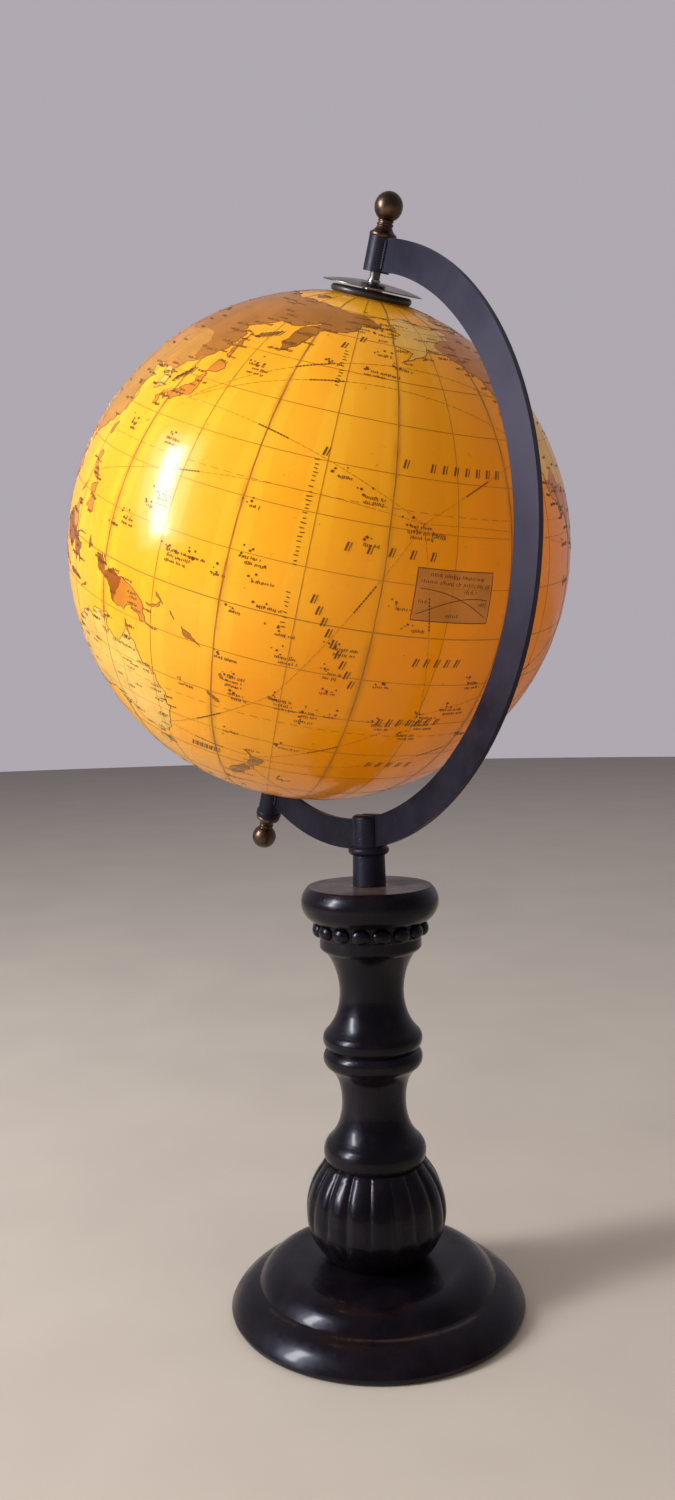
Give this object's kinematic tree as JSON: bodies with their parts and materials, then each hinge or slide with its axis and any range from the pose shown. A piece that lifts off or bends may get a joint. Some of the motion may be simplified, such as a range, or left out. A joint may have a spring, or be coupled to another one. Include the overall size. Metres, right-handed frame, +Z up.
{
  "type": "terrestrial table globe",
  "caption": "Table globe: a printed ball spins on a tilted axle held by a half ring of flat bar, whose stem stands in a turned wooden column on a round foot.",
  "frame": {"origin": "middle of the felt face the globe stands on, on the axis of the turned column", "axes": "+Z up along the column; the half ring lies in the XZ plane with its bow on +X, and the north end of the axle leans 23.5 degrees from +Z towards +X"},
  "size_m": [0.3504, 0.3048, 0.6458],
  "materials": {
    "lacquered_wood": "black-brown stained and lacquered, semi-gloss, brushed streaks",
    "green_felt": "matt felt",
    "black_metal": "satin black paint",
    "plain_steel": "plain bright steel",
    "antique_brass": "darkened antique brass, polished",
    "bush_brass": "plain brass",
    "printed_ball": "amber printed gores under a glossy varnish",
    "card": "unfinished board inside the ball",
    "black_plastic": "moulded black, satin",
    "bright_nickel": "polished nickel plate"
  },
  "bodies": {
    "stand": {"base_disc": "lacquered_wood", "base_felt": "green_felt", "fluted_bulb": "lacquered_wood", "lower_spindle": "lacquered_wood", "upper_spindle": "lacquered_wood", "beaded_collar": "lacquered_wood", "cap_disc": "lacquered_wood", "stem_bush": "bush_brass", "tie_rod": "plain_steel", "tie_rod_washers": "plain_steel", "tie_rod_nuts": "plain_steel"},
    "meridian": {"stem_post": "black_metal", "meridian_arc": "black_metal", "north_sleeve": "black_metal", "south_sleeve": "black_metal", "thrust_washer": "bush_brass", "axle_rod": "plain_steel", "axle_finials": "antique_brass"},
    "globe": {"north_hemisphere": "printed_ball", "south_hemisphere": "printed_ball", "seam_ring": "card", "pole_bushes": "bush_brass", "north_pole_cap": "black_plastic"},
    "dial": {"hour_dial": "bright_nickel"}
  },
  "joints": [
    {"name": "stem_swivel", "type": "hinge", "parent": "stand", "child": "meridian", "pos_m": [0, 0, 0.254], "axis": [0, 0, 1], "continuous": true},
    {"name": "globe_spin", "type": "hinge", "parent": "meridian", "child": "globe", "pos_m": [-0.0464, 0, 0.455], "axis": [0.3987, 0, 0.9171], "continuous": true},
    {"name": "dial_turn", "type": "hinge", "parent": "meridian", "child": "dial", "pos_m": [-0.0464, 0, 0.455], "axis": [0.3987, 0, 0.9171], "continuous": true}
  ]
}
